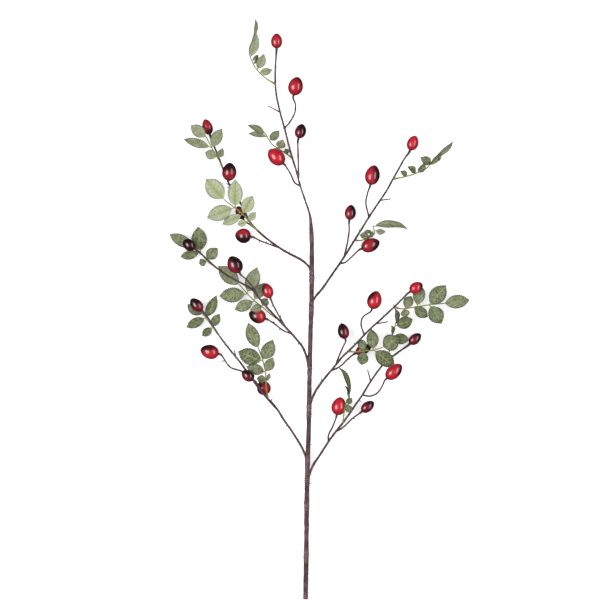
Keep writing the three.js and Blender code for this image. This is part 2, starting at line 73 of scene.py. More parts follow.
# The places are points [x, y, height]: x and y are pixels of the reference picture, and the height is in
# millimetres above the surface.
# The wood of each spray from its root outwards. The leader's is the whole main stem.
PATHS = {
    "leader": [
        [305.5, 600, 2.75], [306.2, 560, 2.75], [306.5, 530, 3.4], [306.8, 500, 5], [307.5, 465, 8],
        [308.7, 430, 10.5], [309.3, 390, 12.5], [310.3, 340, 14], [311.5, 300, 14.5], [311.8, 260, 14.5],
        [311.5, 235, 14.5], [310, 216, 14.5], [305, 200, 15], [300, 185, 16], [296, 170, 16.5],
        [290, 150, 16.5], [285, 130, 16], [279.5, 110, 14.5], [276, 92, 13], [275.2, 75, 11.5],
        [275.8, 60, 9.5],
    ],
    "left_low": [
        [307.6, 463, 8.2], [304, 452, 10], [298, 441, 11.5], [291, 430, 13.5], [284, 420, 15.5],
        [277, 409, 18], [268, 399, 20.3], [258, 387, 20.6], [250, 376, 19], [240, 362, 18], [231, 351, 18],
        [222, 339.5, 18], [215, 329, 17.5], [208, 318, 16.5],
    ],
    "right_low": [
        [307.8, 480, 6.9], [310.2, 472, 8], [314, 464, 9], [320, 455, 10], [327, 444, 11], [334, 434, 12],
        [342, 424, 13], [350, 413, 14], [356, 404, 14.5], [362, 395.5, 14.5], [370, 382.5, 14],
        [378, 371, 12.5], [386, 361.5, 11], [396, 354, 9.5], [403, 349, 8],
    ],
    "left_mid": [
        [308.9, 367, 13.2], [306, 355, 14.5], [302, 346, 16], [298, 341, 17], [291, 333, 19],
        [284, 325.5, 20.5], [276, 317, 22], [268, 308.5, 23], [260, 299, 23.5], [252, 289.5, 23.5],
        [243, 284, 23.5], [230, 277, 23], [220, 270.5, 22.5], [210, 262, 22], [202, 254.5, 21.3],
    ],
    "right_mid": [
        [309.2, 411, 11.4], [311, 402, 12.5], [315, 392, 14.5], [321, 383, 16.5], [326, 376.5, 18],
        [331, 370.5, 19.5], [336, 364.5, 21], [343, 356, 22.7], [350, 349.5, 24], [357, 342.5, 25.3],
        [364, 335, 26.3], [372, 327, 26.5], [380, 320, 26.3], [388, 312.5, 26], [395, 306, 25.5],
        [403, 298, 24.6],
    ],
    "left_top": [
        [311.7, 277, 14.5], [309.6, 268, 15], [305, 262.7, 15.5], [299, 258.5, 16.3], [288, 253, 17],
        [279, 247.5, 17.8], [268, 239.5, 18], [258, 231, 18.5], [250, 222, 18.8], [241, 204, 17.5],
        [231, 188, 14], [225, 174, 10.5], [219, 158, 9], [214, 146, 8],
    ],
    "right_top": [
        [311.6, 309, 14.4], [313, 301, 15.3], [316.3, 295.5, 16.2], [322, 289, 17.3], [331, 276, 19],
        [339, 264.5, 20], [346, 254, 21], [353, 242.5, 21.8], [360, 231.5, 22], [369, 217, 21.5],
        [380, 200.5, 20], [387, 190, 18], [393, 179, 16], [399.2, 168, 13], [405, 157.8, 10],
    ],
}

# Each hip is [base, tip, width in pixels, stalk points from the branch outwards]. The first hip of a
# spray sits on the end of its path.
HIPS = {
    "leader": [
        [[276.5, 48, 6.9], [276.5, 33, 6.5], 10.5, None],
        [[293.6, 95.5, 22], [297.8, 77.5, 25], 14,
         [[283.7, 129, 16], [290, 122, 18], [295, 112, 20], [295.3, 104, 21]]],
        [[298.6, 138, 13], [302.6, 124, 11], 10.5, [[298.7, 178, 16.3], [298.3, 162, 15.5], [298, 150, 14]]],
        [[283.4, 163.8, 21], [269, 150.3, 23], 14.3, [[300, 186, 16], [295, 183, 17], [291, 175, 19]]],
    ],
    "left_low": [
        [[202, 310.8, 16], [191, 299, 16], 10.5, None],
        [[218.3, 354, 9.2], [200.5, 349.5, 8.1], 13.5,
         [[250.5, 376.6, 19], [243, 371.7, 16], [230, 367, 13]]],
        [[253.5, 379.5, 32.5], [242.5, 371, 33], 10.5,
         [[279, 411.5, 17.3], [270, 401.5, 25], [262, 391, 30.5]]],
        [[266, 394.8, 9.8], [261.2, 380.8, 9.2], 13, [[279.5, 412.5, 17], [273, 403.5, 12]]],
    ],
    "right_low": [
        [[410, 343.8, 6.3], [420.6, 334, 6], 9.6, None],
        [[386.5, 378.2, 27], [401, 364.6, 28], 12.5,
         [[362.5, 395, 14.5], [370, 396, 19], [377, 393, 23], [382.5, 385, 26]]],
        [[336.8, 415, 13], [341, 397.3, 13], 13.6, [[328.3, 442, 11.2], [328.6, 435, 12], [332.5, 427, 13]]],
        [[362, 411.6, 7.5], [373.6, 402, 7], 9.6, [[336, 431.5, 12.2], [343, 427.5, 10.5], [352, 419, 8.5]]],
    ],
    "left_mid": [
        [[195, 249, 20.5], [183.4, 240.8, 21], 11, None],
        [[239.6, 272.6, 29.5], [230.4, 256.8, 32], 14,
         [[258.5, 297, 23.5], [252, 286, 26.5], [246, 279, 28.5]]],
        [[270.2, 297.8, 21], [264.6, 283.4, 20], 10.6,
         [[286.5, 328.3, 20], [280, 317.5, 21.5], [274.5, 307.5, 22]]],
        [[265.4, 318.8, 10], [249, 313.2, 9], 13.4,
         [[291.7, 333.6, 18.8], [284, 331, 15], [274, 323.5, 12]]],
    ],
    "right_mid": [
        [[410, 291.7, 24], [422, 283.8, 25], 11, None],
        [[371.7, 308.8, 22.5], [377.2, 291.2, 21], 13.6,
         [[364.2, 334.8, 26.3], [361, 325, 26], [362.8, 317, 24.5]]],
        [[345.2, 338.8, 14], [341.4, 323.4, 10.5], 10.6,
         [[335.6, 365, 20.9], [339, 356, 19], [343.4, 346, 16]]],
        [[356, 353.2, 9.3], [371, 346, 8.5], 9.8,
         [[330.8, 370.8, 19.4], [340, 366.5, 15.5], [347, 360, 12]]],
    ],
    "left_top": [
        [[209.6, 134, 6.2], [204.8, 119, 5.9], 9.5, None],
        [[228.6, 180.6, 20], [230.2, 163, 24], 13.5, [[231.5, 188.8, 14.2], [230, 185, 17]]],
        [[243.3, 218.8, 8.2], [237.3, 206.3, 8], 9, [[256, 229, 18.6], [250, 224.5, 12.5]]],
        [[250.7, 236.8, 12.5], [235.2, 234.6, 10.5], 14,
         [[280.5, 248.3, 17.6], [270, 244.5, 16], [260, 240.6, 14]]],
    ],
    "right_top": [
        [[410.2, 149.8, 7], [415.8, 135.6, 6.6], 10.6, None],
        [[370.2, 184.8, 20], [374.8, 165.4, 18], 13.8,
         [[368.9, 217.2, 21.5], [365.8, 203, 22.5], [367.7, 192.5, 21]]],
        [[349.4, 219.8, 12], [351.4, 204.8, 9], 10.6,
         [[344, 257, 20.8], [347.3, 243, 17.5], [349.2, 230, 14.5]]],
        [[361.6, 248.8, 22.5], [379.2, 241.4, 21], 13,
         [[339.6, 263.6, 20.1], [345, 262.5, 21.5], [351, 257.5, 22.5]]],
    ],
}

# Each leaf is [points of its stalk from the branch outwards, leaflets], and each leaflet is
# [base, tip, width in pixels, roll in degrees].
LEAVES = {
    "leader": [
        [[[275.3, 84, 12.3], [265, 77.5, 11], [256, 68.5, 11], [250.4, 57, 11.5], [249, 49.5, 12],
          [252.4, 39.5, 12]], [
            [[252.4, 39.5, 12], [255.2, 17, 8], 7, 58], [[250.6, 57.5, 11.6], [256.6, 32.5, 17], 9.6, 22],
            [[252, 60.5, 11.4], [258.4, 54.6, 8], 4.5, 15], [[257, 69.3, 11], [264.2, 54, 15], 9.6, 18],
            [[259.5, 72, 11], [272, 70, 13], 8, 20], [[253.5, 64, 11], [258, 56, 10], 5, 50],
        ]],
        [[[292.3, 158, 16.5], [287, 154, 10.5], [279, 148.8, 8.5], [272, 144, 8], [265.2, 133.4, 8]], [
            [[267, 136.6, 8], [248, 133, 4.6], 6, 15], [[265.2, 133.4, 8], [248, 124.8, 11], 7.4, 18],
            [[269.4, 140.2, 8], [279.2, 130.4, 11], 9, 15], [[279, 148.6, 8.5], [282.6, 139.6, 12], 10, 8],
            [[287.4, 154.2, 10.7], [285.4, 148.6, 12], 6.5, 10], [[280, 149, 8.5], [271, 154.5, 5], 8, 10],
        ]],
    ],
    "left_low": [
        [[[268, 398.8, 20.4], [266.8, 391, 22.5], [266, 382, 23], [265.5, 372, 24], [263, 361, 25],
          [259, 349, 26]], [
            [[259, 349, 26], [248, 323, 22], 14.5, -8], [[262.7, 360, 25], [273, 339.8, 27.5], 15, 10],
            [[263, 361, 25], [238, 351.5, 20], 17.5, -5], [[265.3, 371.5, 24], [273, 357.5, 25.5], 11, 10],
            [[265.4, 372, 24], [246.5, 366.5, 23.5], 11.5, 0], [[266, 380, 23], [257, 378, 24], 8.5, 0],
            [[266, 381, 23], [269.5, 373, 21], 5, 40],
        ]],
        [[[218, 334, 17.8], [213, 328, 9.5], [208, 321, 7], [203, 314.5, 6]], [
            [[203, 314.5, 6], [187, 304.5, 3], 12.5, 0], [[205.5, 317.7, 6.6], [216.5, 295.5, 10], 11, 10],
            [[205.3, 317.8, 6.6], [186, 327.5, 3], 10.5, 0], [[212, 326.8, 9], [219.3, 314, 10], 9.5, 0],
            [[212.3, 327.2, 9], [202, 336.3, 4.5], 8.5, 0],
        ]],
    ],
    "right_low": [
        [[[343, 422.8, 13.1], [344, 413, 18], [346, 403, 20.5], [349.8, 396.2, 22]], [
            [[349.8, 396.2, 22], [339, 366, 30], 11, 62], [[348.6, 398, 21.6], [345.3, 385.3, 25], 6, 58],
            [[346, 403, 20.5], [352, 398, 22], 7, 20], [[345.9, 404, 20.4], [351.8, 412.5, 18], 8, 20],
            [[344.6, 410, 19], [348.5, 404, 16.5], 6, 40],
        ]],
        [[[387.5, 360.4, 10.8], [389.5, 350, 14], [391, 340, 15], [393, 331, 15.5], [395.5, 325, 16]], [
            [[395.5, 325, 16], [395, 308, 19], 11, 62], [[395.4, 326, 16], [412.8, 319.3, 14], 13, 5],
            [[391.2, 338.5, 15], [409.5, 339.5, 12.5], 11.5, -5],
            [[392.2, 335.5, 15.2], [391.3, 325.5, 20], 9, 62],
        ]],
    ],
    "left_mid": [
        [[[277.5, 318.6, 21.8], [271, 314.5, 16], [262.5, 307, 13.5], [254, 300.5, 11], [247, 293.5, 9],
          [240, 285.5, 8]], [
            [[240, 285.5, 8], [218, 266, 5], 16, 0], [[247, 293, 9], [257.2, 267.5, 12.5], 15.5, 8],
            [[246.6, 294, 9], [219, 296, 5], 16, 0], [[254, 300, 11], [264, 283, 9], 12, 8],
            [[254, 301, 11], [234.5, 310, 7], 12, 0], [[262, 306, 13], [267.5, 298.5, 12], 9, 0],
            [[262, 307, 13], [250.5, 310, 20], 9, 0],
        ]],
        [[[216.5, 267.8, 22.3], [210, 263.5, 14], [205, 258.5, 10], [200, 252.5, 8], [194.5, 247.5, 7.2]], [
            [[194.5, 247.5, 7.2], [169, 234, 3.5], 12.5, 0], [[200.3, 252, 8], [198, 226.5, 8], 16.5, 0],
            [[199.7, 252.8, 8], [180, 256.8, 3.5], 10, 0], [[206.5, 259.5, 11], [217.3, 247.8, 12], 12.5, 0],
            [[206.8, 261, 11], [198.8, 263.5, 6], 8, 0],
        ]],
    ],
    "right_mid": [
        [[[348.3, 351.2, 23.6], [356, 351.8, 22.6], [366, 350.6, 22], [374, 350, 21.3], [382, 347.5, 21]], [
            [[382, 347.5, 21], [399, 337.5, 21], 18, 0], [[373.3, 350, 21.3], [371.5, 329, 19.5], 13, 0],
            [[374, 350.3, 21.3], [394.5, 366.3, 18], 16, 0],
            [[364, 350.8, 22.1], [360.3, 339, 18.5], 9.5, 0], [[364, 351, 22.1], [361.5, 365, 18], 12, 0],
        ]],
        [[[394, 307.2, 25.3], [402, 308.8, 20.5], [412, 307.5, 18], [428, 305, 17], [443, 303.5, 16]], [
            [[443, 303.5, 16], [469.8, 300, 10], 14.5, 0], [[429, 304.8, 17], [446, 285.3, 15], 17, 0],
            [[429.5, 305, 17], [441.8, 323.8, 12], 16.5, 0], [[417, 306.5, 17.7], [420.8, 285, 10.5], 13, 0],
            [[413.5, 307.2, 18], [427.8, 317, 14], 11.5, 0],
            [[404.5, 308.6, 19.8], [411.5, 296, 14.5], 11, 0],
            [[404, 308.8, 20], [406, 317.4, 19.8], 9.5, 0],
        ]],
    ],
    "left_top": [
        [[[257.5, 230.5, 18.5], [250.5, 223.5, 23], [243, 214.5, 24.8], [235, 208, 25.6],
          [225, 200.5, 26]], [
            [[225, 200.5, 26], [206, 179, 21], 19, 0], [[235.5, 208, 25.5], [235.3, 179.8, 25], 16, 0],
            [[234, 208, 25.5], [206.8, 218, 20], 16.5, 0], [[243, 214, 24.8], [252.8, 196, 25.5], 13.5, 0],
            [[242.5, 214.7, 24.8], [222, 224.6, 18], 10, 0],
            [[248.5, 221, 23.6], [255.8, 212.3, 24.5], 7.5, 0], [[248, 221.5, 23.4], [237.5, 225, 19], 7, 0],
        ]],
        [[[222, 166.6, 9.8], [218, 158.5, 13.5], [212.5, 149, 17], [206.5, 137.5, 19.5]], [
            [[206.5, 137.5, 19.5], [190.8, 125.3, 16.5], 12.5, 0],
            [[211.5, 147.5, 17.4], [221.8, 128.8, 19], 12, 0],
            [[211.2, 147.5, 17.4], [183.5, 139, 12], 9.5, 0],
            [[217.2, 157.3, 14], [205, 152, 10.5], 10.5, 0],
            [[217.6, 157.6, 14], [223, 148.5, 16.5], 7.5, 20],
        ]],
    ],
    "right_top": [
        [[[354.5, 240.2, 21.9], [361, 240.4, 15], [368, 238, 12.6], [374.4, 233.4, 12.5],
          [372.8, 226, 13.2]], [
            [[372.8, 226, 13.2], [407.7, 227.3, 9.5], 11, -44],
            [[375.4, 230.6, 12.6], [385.4, 231.8, 11], 6.5, 25],
            [[372.8, 234.3, 12.5], [364, 231.2, 17], 6.5, 50],
            [[369.6, 237.1, 12.5], [359.6, 234.9, 11], 7.5, 15],
            [[367.8, 238.1, 12.7], [373.2, 231.6, 17.5], 5.5, 45],
        ]],
        [[[393, 179, 16.1], [402, 177.3, 12.3], [416, 173.4, 12], [428, 167, 12.7], [433.8, 158.6, 13.8]], [
            [[433.8, 158.6, 13.8], [454, 141.2, 8], 6, 25], [[433, 161, 13.4], [441.5, 153.8, 16], 7, 35],
            [[431, 164.2, 13], [420.4, 157.4, 20], 9.5, 10],
            [[430.4, 164.8, 12.9], [437.5, 156, 18.5], 7, 42], [[416, 173.2, 12], [408, 166.6, 17], 7.5, 30],
            [[417.8, 172.7, 12], [425, 163.4, 17.5], 8, 30], [[407.5, 175.9, 12], [400.4, 171.2, 15], 6, 20],
        ]],
    ],
}

# Thorns and broken twigs, each [root, point].
THORNS = {
    "leader": [
        [[279.8, 112, 14.7], [268, 106, 17]], [[290, 144, 16.3], [287.6, 141.5, 16.3]],
        [[308.2, 485, 7], [312.2, 482.5, 8]], [[306.5, 531, 3.6], [302.6, 534, 4.6]],
        [[306.3, 556, 3], [310, 554, 4]], [[307, 506, 5], [303.2, 503, 7]],
        [[311.8, 242, 14.5], [315.2, 239, 15.5]], [[308.3, 446, 9.5], [312, 444, 12]],
        [[309.5, 384, 12.8], [305.8, 381, 13.5]], [[310.6, 325, 14.2], [314.2, 322, 15.5]],
    ],
    "left_low": [
        [[288.3, 426, 14.3], [285.3, 425.5, 15]], [[235.5, 356.5, 18], [234.6, 350, 20]],
        [[229, 348.7, 18], [228.3, 345, 19]], [[270.2, 401.6, 20], [273.2, 397, 21]],
        [[223, 361, 11.8], [220, 362.5, 11.5]],
    ],
    "right_low": [
        [[370.5, 381.5, 14], [367.5, 369.5, 16]], [[321.5, 452.5, 10.3], [323.5, 449.5, 12]],
        [[352.5, 418.6, 8.6], [355.5, 418.8, 9.5]], [[358.6, 400.6, 14.5], [361.6, 401.8, 15.5]],
    ],
    "left_mid": [
        [[299, 342, 17], [298.2, 345.6, 17.5]], [[280.3, 318, 21.5], [280.5, 313.6, 22]],
        [[274, 323.5, 12], [273.5, 320.5, 13.5]], [[280, 328.5, 13.8], [278.4, 331, 13.5]],
        [[272.8, 305, 22], [270.8, 306.5, 22.5]],
    ],
    "right_mid": [
        [[376, 323.5, 26.4], [388, 321.6, 28]], [[321.5, 382, 16.7], [321.3, 377.6, 18]],
        [[355, 344.6, 25], [353.6, 341.6, 26]], [[393.6, 307, 25.6], [392.8, 304, 26.5]],
        [[383, 317, 26.2], [383.6, 313.8, 27.5]],
    ],
    "left_top": [
        [[288.5, 253.3, 17], [289.4, 250, 18]], [[260, 240.6, 14], [258.6, 243.4, 14.5]],
        [[229.7, 185.6, 16.5], [226, 183, 15.5]], [[230.6, 187.2, 14.4], [226.6, 187.8, 13.5]],
        [[267, 243.4, 15.4], [266, 240.4, 15.4]], [[241.6, 205.2, 17.6], [242.6, 202, 18.5]],
    ],
    "right_top": [
        [[380, 201, 20], [390.8, 199, 21.5]], [[332, 274.4, 19.2], [332.6, 271.4, 20.4]],
        [[387.2, 189.6, 18], [385, 192.6, 17.4]], [[359.3, 232.6, 22], [359, 228.6, 23]],
    ],
}

# How dark each hip is: [x, y] is the side that has ripened to near black, as seen from above, with y
# towards the tip of the sprig. The third number is the share of the hip that is dark, and the fourth says
# how far its red has deepened, from 0 for bright red to 1 for maroon.
HIP_SHADES = {
    "leader": [(0.2, -1, 0.02, 0.2), (0.7, 0.9, 0.14, 0.25), (1, 0.6, 0.5, 0.95), (1, -0.4, 0.02, 0.0)],
    "left_low": [(-0.6, 0.8, 0.52, 0.9), (-0.2, 1, 0.34, 0.15),
                 (0.5, 0.8, 0.52, 0.85), (-1, 0.1, 0.35, 0.4)],
    "right_low": [(0.8, 0.6, 0.34, 0.95), (1, -0.1, 0.18, 0.1),
                  (0.4, -1, 0.02, 0.0), (0.6, 0.5, 0.3, 0.95)],
    "left_mid": [(0.2, 0.4, 0.85, 0.9), (0.7, 0.7, 0.56, 0.7), (-1, 0.4, 0.22, 0.0), (-1, -0.4, 0.42, 0.1)],
    "right_mid": [(1, 0.1, 0.16, 0.05), (-0.8, 0.8, 0.24, 0.05),
                  (-0.9, 0.3, 0.54, 0.85), (0.8, 0.4, 0.6, 0.5)],
    "left_top": [(0.8, -0.7, 0.22, 0.25), (0, 1, 0.44, 0.55), (0.1, -0.8, 0.42, 0.55), (0, -1, 0.48, 0.35)],
    "right_top": [(0.8, -0.6, 0.04, 0.0), (1, 0.1, 0.34, 0.25), (1, 0.2, 0.42, 0.65), (1, -0.2, 0.3, 0.45)],
}

# How pale each leaf is, from 0 for the dark grey-green ones to 1 for the palest.
LEAF_TONES = {
    "leader": (0.5, 0.26),
    "left_low": (0.2, 0.1),
    "right_low": (0.09, 0.07),
    "left_mid": (0.34, 0.16),
    "right_mid": (0.14, 0.22),
    "left_top": (0.83, 0.38),
    "right_top": (0.34, 0.14),
}

UP = Vector((0, 0, 1))
END_GAP = 1e-4


def place(row):
    """A place of the table as a point in metres."""
    x, y, height = row
    return Vector(((x - CENTRE_PIXEL[0]) * PIXEL, (CENTRE_PIXEL[1] - y) * PIXEL, height)) * MM


def off_ends(share):
    """The share, kept a hair away from 0 and 1."""
    return min(max(share, END_GAP), 1 - END_GAP)


def smooth_step(low, high, value):
    """0 below low, 1 above high and a smooth rise between."""
    share = min(1, max(0, (value - low) / (high - low)))
    return share * share * (3 - 2 * share)


# Heights of the camera and of the sprig's middle in metres, and the sensor in millimetres.
CAMERA_HEIGHT = 5.0
SPRIG_MIDDLE_HEIGHT = 0.015
SENSOR_WIDTH = 36.0


def add_camera():
    """Straight above the sprig, with the picture's frame."""
    data = bpy.data.cameras.new("camera")
    data.sensor_width = SENSOR_WIDTH
    data.lens = SENSOR_WIDTH * (CAMERA_HEIGHT - SPRIG_MIDDLE_HEIGHT) / (PICTURE_PIXELS * PIXEL * MM)
    camera = bpy.data.objects.new("camera", data)
    middle = PICTURE_PIXELS / 2
    camera.location = place((middle, middle, CAMERA_HEIGHT / MM))
    bpy.context.collection.objects.link(camera)
    bpy.context.scene.camera = camera


add_camera()


# Shader values that can be written as sums.
def arithmetic(operation, is_flipped=False):
    """A method for a term and one other value."""
    return lambda self, other: self._math(operation, [other, self] if is_flipped else [self, other])


class Term:
    """One value of a finish. Arithmetic on it adds Math nodes."""

    def __init__(self, finish, socket):
        self.finish = finish
        self.socket = socket

    def _math(self, operation, values, clamp=False):
        settings = {"operation": operation, "use_clamp": clamp}
        return self.finish.node("ShaderNodeMath", settings, dict(enumerate(values)))

    __add__ = __radd__ = arithmetic("ADD")
    __sub__ = arithmetic("SUBTRACT")
    __rsub__ = arithmetic("SUBTRACT", is_flipped=True)
    __mul__ = __rmul__ = arithmetic("MULTIPLY")
    __pow__ = arithmetic("POWER")

    def fraction(self):
        return self._math("FRACT", [self])

    def size(self):
        return self._math("ABSOLUTE", [self])

    def band(self, low, high):
        """0 below low, 1 above high and a straight rise between."""
        return self._math("MULTIPLY_ADD", [self, 1 / (high - low), -low / (high - low)], clamp=True)


def linear(red, green, blue):
    """A display colour from 0 to 255 as the linear colour that a shader takes."""
    channels = [(value / 255 + 0.055) / 1.055 for value in (red, green, blue)]
    return (*[channel**2.4 for channel in channels], 1)


class Finish:
    """One procedural material, on a Principled shader."""

    def __init__(self, name, constants):
        self.material = bpy.data.materials.new(name)
        self.material.use_nodes = True
        self.tree = self.material.node_tree
        self.tree.nodes.clear()
        output = self.tree.nodes.new("ShaderNodeOutputMaterial")
        self.shader = self.tree.nodes.new("ShaderNodeBsdfPrincipled")
        self.tree.links.new(self.shader.outputs["BSDF"], output.inputs["Surface"])
        for socket, value in constants.items():
            self.shader.inputs[socket].default_value = value

    def node(self, kind, settings, sockets, output=0):
        """Adds a node with its settings, then its socket values or links. Returns one output."""
        made = self.tree.nodes.new(kind)
        for key, value in settings.items():
            setattr(made, key, value)
        for key, value in sockets.items():
            if isinstance(value, Term):
                self.tree.links.new(value.socket, made.inputs[key])
            else:
                made.inputs[key].default_value = value
        return Term(self, made.outputs[output])

    def attribute(self, name, output="Fac"):
        settings = {"attribute_name": name, "attribute_type": "GEOMETRY"}
        return self.node("ShaderNodeAttribute", settings, {}, output)

    def object_place(self):
        """The spot on the piece, in metres."""
        return self.node("ShaderNodeTexCoord", {}, {}, "Object")

    def noise(self, vector, scale, detail, roughness=0.6):
        sockets = {"Vector": vector, "Scale": scale, "Detail": detail, "Roughness": roughness}
        return self.node("ShaderNodeTexNoise", {}, sockets, "Fac")

    def mix(self, share, *colours):
        """From the first colour to the second as share goes from 0 to 1. A colour is a term or a row of
        display values. The sockets of the Mix node share their names, so they go by number."""
        first, second = [each if isinstance(each, Term) else linear(*each) for each in colours]
        settings = {"data_type": "RGBA", "clamp_factor": True}
        return self.node("ShaderNodeMix", settings, {0: share, 6: first, 7: second}, 2)

    def done(self, base, roughness, height, strength, distance):
        """Feeds colour, roughness and relief to the shader. Returns the material."""
        sockets = {"Strength": strength, "Distance": distance, "Height": height}
        relief = self.node("ShaderNodeBump", {}, sockets)
        for socket, term in (("Base Color", base), ("Roughness", roughness), ("Normal", relief)):
            self.tree.links.new(term.socket, self.shader.inputs[socket])
        return self.material


def make_bark(name, dark, middle, pale):
    """Thin matt bark: long streaks that run along each limb, paler flecks and a fine grain."""
    finish = Finish(name, {"Specular IOR Level": 0.35})
    grain = finish.attribute("grain", "Vector")
    spot = finish.object_place()
    streaks = finish.noise(grain, scale=1.5, detail=6, roughness=0.62)
    patches = finish.noise(spot, scale=95, detail=5)
    flecks = finish.noise(grain, scale=4.2, detail=3).band(0.6, 0.72)
    scars = finish.attribute("scar")
    base = finish.mix(streaks.band(0.4, 0.58), dark, middle)
    base = finish.mix(patches.band(0.45, 0.75) * 0.6, base, pale)
    base = finish.mix(flecks * 0.6, base, pale)
    rough_patch = finish.noise(spot, scale=420, detail=4, roughness=0.7).band(0.48, 0.62)
    base = finish.mix(scars * rough_patch * 0.85, base, (160, 138, 140))
    roughness = 0.5 + 0.3 * patches
    height = streaks + 0.5 * flecks + scars * rough_patch
    return finish.done(base, roughness, height, strength=0.6, distance=0.0006)


def make_hip_skin():
    """Glossy red skin that turns near black on one side, with faint freckles and a dull neck.
    Painted shade darkens its rims, where the skin turns away from above.
    """
    constants = {"Coat Weight": 1.0, "Coat Roughness": 0.19, "Coat IOR": 1.7}
    finish = Finish("hip_skin", constants)
    spot = finish.object_place()
    clouds = finish.noise(spot, scale=140, detail=4)
    freckles = finish.noise(spot, scale=900, detail=3)
    streaks = finish.noise(finish.attribute("grain", "Vector"), scale=1.1, detail=4)
    shade = finish.attribute("shade")
    depth = finish.attribute("depth")
    dull = finish.attribute("dull")
    uneven = (clouds - 0.5) * 0.25 + (streaks - 0.5) * 0.25
    red = finish.mix((clouds + streaks * 0.6).band(0.6, 1.0), (176, 14, 32), (218, 34, 54))
    # depth holds the hip's own deeper red plus painted shade on its rims.
    red = finish.mix(depth + uneven, red, (112, 18, 38))
    ripe = shade + uneven
    base = finish.mix(ripe.band(0.05, 0.62), red, (88, 16, 32))
    base = finish.mix(ripe.band(0.5, 1.05), base, (34, 14, 20))
    base = finish.mix(freckles.band(0.63, 0.74) * 0.3, base, (206, 66, 58))
    base = finish.mix(dull, base, (52, 26, 32))
    roughness = 0.3 + 0.1 * clouds + 0.4 * dull
    height = freckles * 0.4 + clouds + streaks * 0.6
    return finish.done(base, roughness, height, strength=0.05, distance=0.0006)


# The pairs of side veins of a leaflet, and how far they lean towards its tip.
VEIN_PAIRS = 6
VEIN_SLANT = 1.5


def make_leaf(name, greens, veins, edge_shades, depth):
    """A leaf face: a rib and side veins that follow the blade, a fine net between and mottled green, with
    painted shade along the margins. The colours come in pairs, for the dark leaves and the pale ones."""
    finish = Finish(name, {"Specular IOR Level": 0.3})
    spot = finish.object_place()
    uv = finish.node("ShaderNodeUVMap", {"uv_map": "blade"}, {})
    along = finish.node("ShaderNodeSeparateXYZ", {}, {"Vector": uv}, "X")
    across = finish.node("ShaderNodeSeparateXYZ", {}, {"Vector": uv}, "Y")
    side = ((across - 0.5) * 2).size()
    wobble = finish.noise(spot, scale=160, detail=3) - 0.5
    phase = along * VEIN_PAIRS - side * VEIN_SLANT + wobble * 0.4
    crest = ((phase.fraction() - 0.5) * 2).size()
    side_veins = crest.band(0.78, 0.96) * (1 - side**3)
    rib = 1 - side.band(0.02, 0.1)
    cells = {"Vector": spot, "Scale": 620}
    edge = finish.node("ShaderNodeTexVoronoi", {"feature": "DISTANCE_TO_EDGE"}, cells, "Distance")
    net = 1 - edge.band(0.0, 0.16)
    mottle = finish.noise(spot, scale=240, detail=5, roughness=0.7)
    grit = finish.noise(spot, scale=800, detail=3)
    tone = finish.attribute("tone")
    shift = (mottle.band(0.38, 0.62) - 0.5) * 0.48 + (grit.band(0.36, 0.64) - 0.5) * 0.34
    green = finish.mix((tone + shift * (1 - tone * 0.4)).band(0.0, 1.0), *greens)
    vein = finish.mix(tone, *veins)
    # Painted shade: a darker colour for the margins and the tip of the blade.
    edge_shade = finish.mix(tone, *edge_shades)
    heart = (1 - side.band(0.1, 0.8)) * (1 - along.band(0.35, 1.0)) * tone.band(0.4, 0.9)
    edge_shade_mask = (side.band(0.72, 0.9) + along.band(0.92, 1.0)).band(0.0, 1.0)
    for mark, weight in ((heart, 0.58), (net, 0.3), (side_veins, 0.75)):
        green = finish.mix(mark * weight, green, vein)
    # Painted shade darkens the margins and the tip.
    green = finish.mix(edge_shade_mask * 0.85, green, edge_shade)
    green = finish.mix(rib * 0.8, green, vein)
    blemish = finish.noise(spot, scale=330, detail=3, roughness=0.5).band(0.68, 0.78)
    green = finish.mix(blemish * 0.35, green, (112, 98, 60))
    roughness = 0.52 + 0.25 * mottle
    height = mottle * 0.5 - net * 0.3 - (side_veins + rib) * depth
    return finish.done(green, roughness, height, strength=0.4, distance=0.0004)


def make_leaf_stalk():
    """Green leaf stalk with a warm blush and fine pale flecks."""
    finish = Finish("leaf_stalk", {"Specular IOR Level": 0.35})
    spot = finish.object_place()
    blush = finish.noise(spot, scale=55, detail=4)
    fine = finish.noise(spot, scale=700, detail=4)
    base = finish.mix(blush.band(0.42, 0.7), (122, 136, 62), (146, 116, 76))
    base = finish.mix(fine.band(0.45, 0.75) * 0.5, base, (160, 168, 104))
    roughness = 0.5 + 0.2 * fine
    return finish.done(base, roughness, fine, strength=0.4, distance=0.0003)


OLD_BARK = make_bark("old_bark", (46, 26, 32), (92, 60, 68), (146, 115, 122))
TWIG_BARK = make_bark("twig_bark", (46, 30, 35), (87, 61, 67), (132, 107, 112))
HIP_SKIN = make_hip_skin()
LEAF_TOP = make_leaf(
    "leaf_top",
    greens=((66, 73, 42), (193, 197, 170)),
    veins=((146, 158, 106), (124, 142, 72)),
    # Painted shade along the margins, for the dark leaves and the pale ones.
    edge_shades=((46, 52, 38), (126, 136, 116)),
    depth=1.0,
)
LEAF_UNDER = make_leaf(
    "leaf_under",
    greens=((120, 132, 98), (190, 198, 168)),
    veins=((152, 164, 118), (180, 190, 130)),
    # Painted shade along the margins, for the dark leaves and the pale ones.
    edge_shades=((108, 120, 92), (176, 184, 160)),
    depth=-1.0,
)
LEAF_STALK = make_leaf_stalk()


# Shapes.
def select_only(*objects):
    """Selects these objects and makes the first one active."""
    bpy.ops.object.select_all(action="DESELECT")
    for each in objects:
        each.select_set(True)
    bpy.context.view_layer.objects.active = objects[0]


